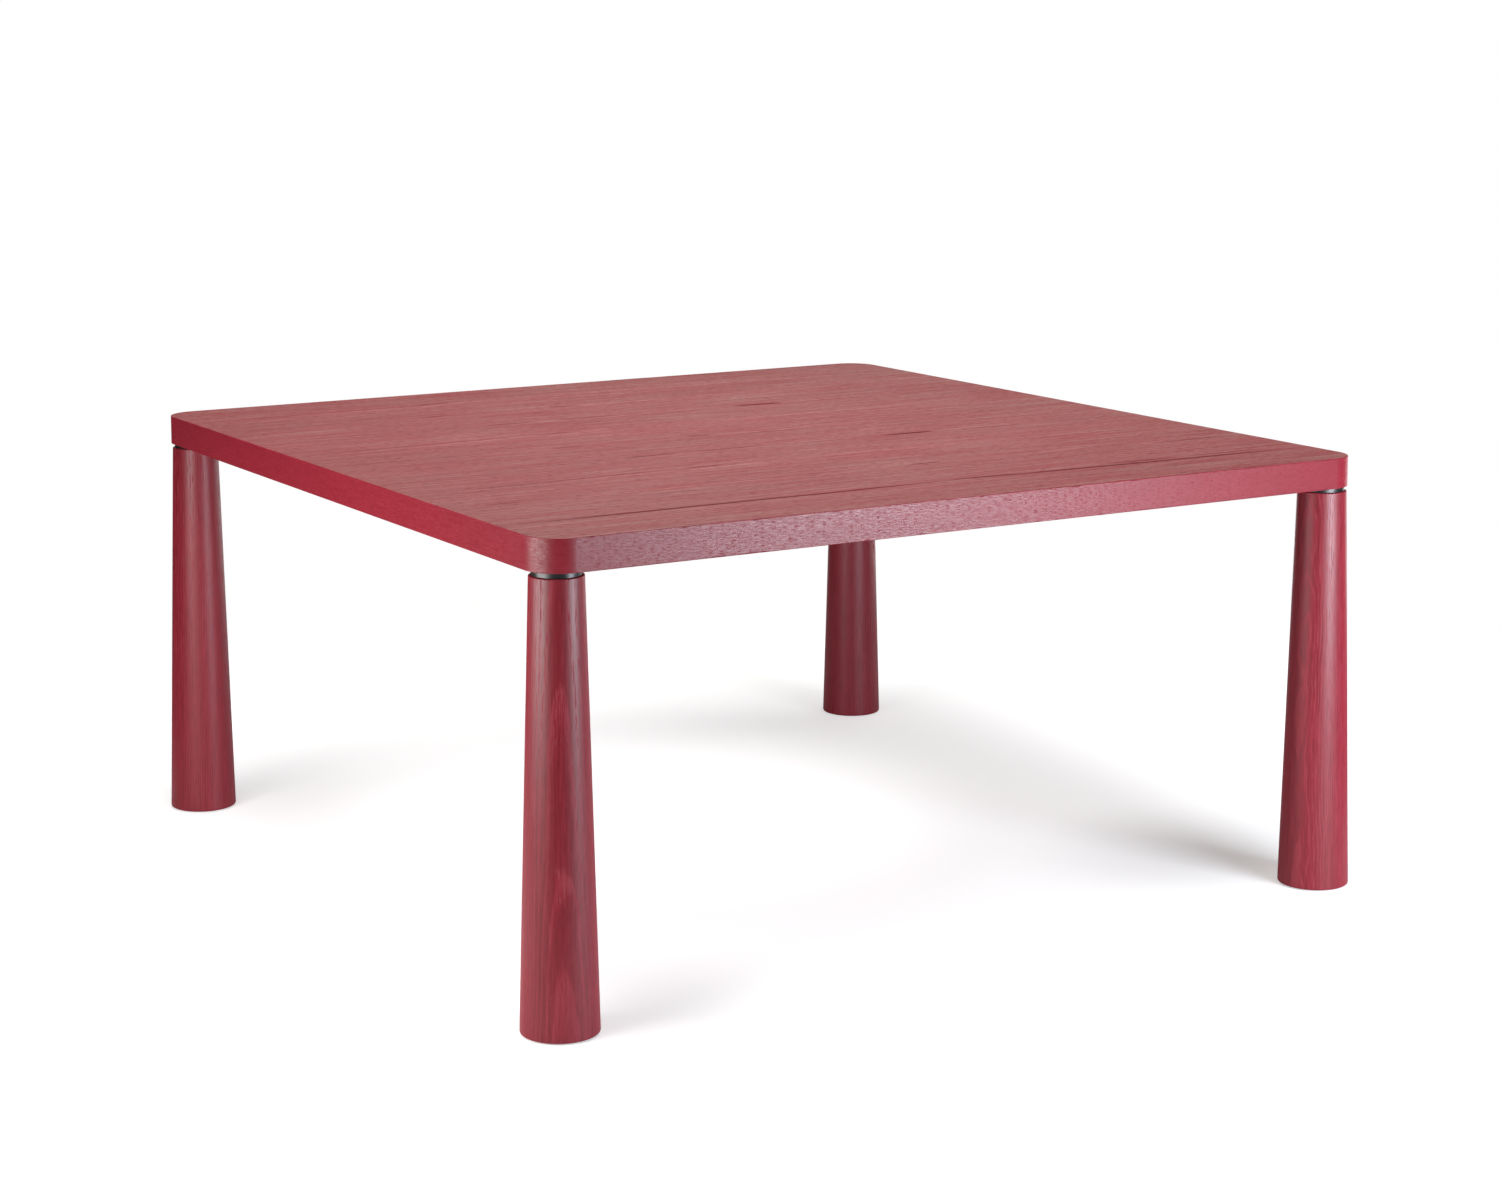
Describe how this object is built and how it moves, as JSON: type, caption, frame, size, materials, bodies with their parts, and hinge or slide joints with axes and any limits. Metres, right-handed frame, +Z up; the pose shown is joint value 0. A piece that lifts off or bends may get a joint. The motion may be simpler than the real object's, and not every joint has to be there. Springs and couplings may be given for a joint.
{
  "type": "dining table",
  "caption": "Square dining table: thick veneered slab with rounded corners on turned legs that widen to the floor, set over dark steel discs.",
  "frame": {"origin": "on the floor, under the middle of the top", "axes": "+Z up, +X along the grain of the top, -Y towards the front side"},
  "size_m": [1.5258, 1.5258, 0.72],
  "materials": {
    "stained_oak_veneer": "wine-red stain under satin lacquer, open pores",
    "stained_solid_oak": "wine-red stain under satin lacquer, open pores",
    "fibreboard": "raw, hidden",
    "frame_timber": "planed, hidden",
    "black_coated_steel": "satin black coating",
    "zinc_plated_steel": "bright zinc",
    "black_nylon": "matt",
    "pad_rubber": "matt"
  },
  "bodies": {
    "table": {"core_batten_1": "frame_timber", "core_batten_2": "frame_timber", "core_batten_3": "frame_timber", "core_batten_4": "frame_timber", "core_rail_front": "frame_timber", "core_rail_left": "frame_timber", "core_rail_rear": "frame_timber", "core_rail_right": "frame_timber", "corner_block_front_left": "frame_timber", "corner_block_front_right": "frame_timber", "corner_block_rear_left": "frame_timber", "corner_block_rear_right": "frame_timber", "disc_screws": "zinc_plated_steel", "edge_band_front": "stained_oak_veneer", "edge_band_left": "stained_oak_veneer", "edge_band_rear": "stained_oak_veneer", "edge_band_right": "stained_oak_veneer", "foot_sleeves": "zinc_plated_steel", "leg_disc_front_left": "black_coated_steel", "leg_disc_front_right": "black_coated_steel", "leg_disc_rear_left": "black_coated_steel", "leg_disc_rear_right": "black_coated_steel", "leg_front_left": "stained_solid_oak", "leg_front_right": "stained_solid_oak", "leg_rear_left": "stained_solid_oak", "leg_rear_right": "stained_solid_oak", "leg_sleeves": "zinc_plated_steel", "leg_studs": "zinc_plated_steel", "lower_skin": "fibreboard", "top_leaf_01": "stained_oak_veneer", "top_leaf_02": "stained_oak_veneer", "top_leaf_03": "stained_oak_veneer", "top_leaf_04": "stained_oak_veneer", "top_leaf_05": "stained_oak_veneer", "top_leaf_06": "stained_oak_veneer", "top_leaf_07": "stained_oak_veneer", "top_leaf_08": "stained_oak_veneer", "top_leaf_09": "stained_oak_veneer", "top_leaf_10": "stained_oak_veneer", "underside_veneer": "stained_oak_veneer", "upper_skin": "fibreboard"},
    "foot_front_left": {"foot_base_front_left": "black_nylon", "foot_pad_front_left": "pad_rubber"},
    "stem_front_left": {"foot_stem_front_left": "zinc_plated_steel"},
    "foot_front_right": {"foot_base_front_right": "black_nylon", "foot_pad_front_right": "pad_rubber"},
    "stem_front_right": {"foot_stem_front_right": "zinc_plated_steel"},
    "foot_rear_left": {"foot_base_rear_left": "black_nylon", "foot_pad_rear_left": "pad_rubber"},
    "stem_rear_left": {"foot_stem_rear_left": "zinc_plated_steel"},
    "foot_rear_right": {"foot_base_rear_right": "black_nylon", "foot_pad_rear_right": "pad_rubber"},
    "stem_rear_right": {"foot_stem_rear_right": "zinc_plated_steel"}
  },
  "joints": [
    {"name": "foot_travel_front_left", "type": "slide", "parent": "table", "child": "foot_front_left", "axis": [0, 0, -1], "range_m": [0, 0.012]},
    {"name": "stem_turn_front_left", "type": "hinge", "parent": "foot_front_left", "child": "stem_front_left", "pos_m": [-0.705, -0.705, 0.02], "axis": [0, 0, -1], "range_deg": [0, 2880]},
    {"name": "foot_travel_front_right", "type": "slide", "parent": "table", "child": "foot_front_right", "axis": [0, 0, -1], "range_m": [0, 0.012]},
    {"name": "stem_turn_front_right", "type": "hinge", "parent": "foot_front_right", "child": "stem_front_right", "pos_m": [0.705, -0.705, 0.02], "axis": [0, 0, -1], "range_deg": [0, 2880]},
    {"name": "foot_travel_rear_left", "type": "slide", "parent": "table", "child": "foot_rear_left", "axis": [0, 0, -1], "range_m": [0, 0.012]},
    {"name": "stem_turn_rear_left", "type": "hinge", "parent": "foot_rear_left", "child": "stem_rear_left", "pos_m": [-0.705, 0.705, 0.02], "axis": [0, 0, -1], "range_deg": [0, 2880]},
    {"name": "foot_travel_rear_right", "type": "slide", "parent": "table", "child": "foot_rear_right", "axis": [0, 0, -1], "range_m": [0, 0.012]},
    {"name": "stem_turn_rear_right", "type": "hinge", "parent": "foot_rear_right", "child": "stem_rear_right", "pos_m": [0.705, 0.705, 0.02], "axis": [0, 0, -1], "range_deg": [0, 2880]}
  ],
  "couplings": [
    {"joint": "stem_turn_front_left", "follows": "foot_travel_front_left", "rad_per_m": 4188.8},
    {"joint": "stem_turn_front_right", "follows": "foot_travel_front_right", "rad_per_m": 4188.8},
    {"joint": "stem_turn_rear_left", "follows": "foot_travel_rear_left", "rad_per_m": 4188.8},
    {"joint": "stem_turn_rear_right", "follows": "foot_travel_rear_right", "rad_per_m": 4188.8}
  ]
}
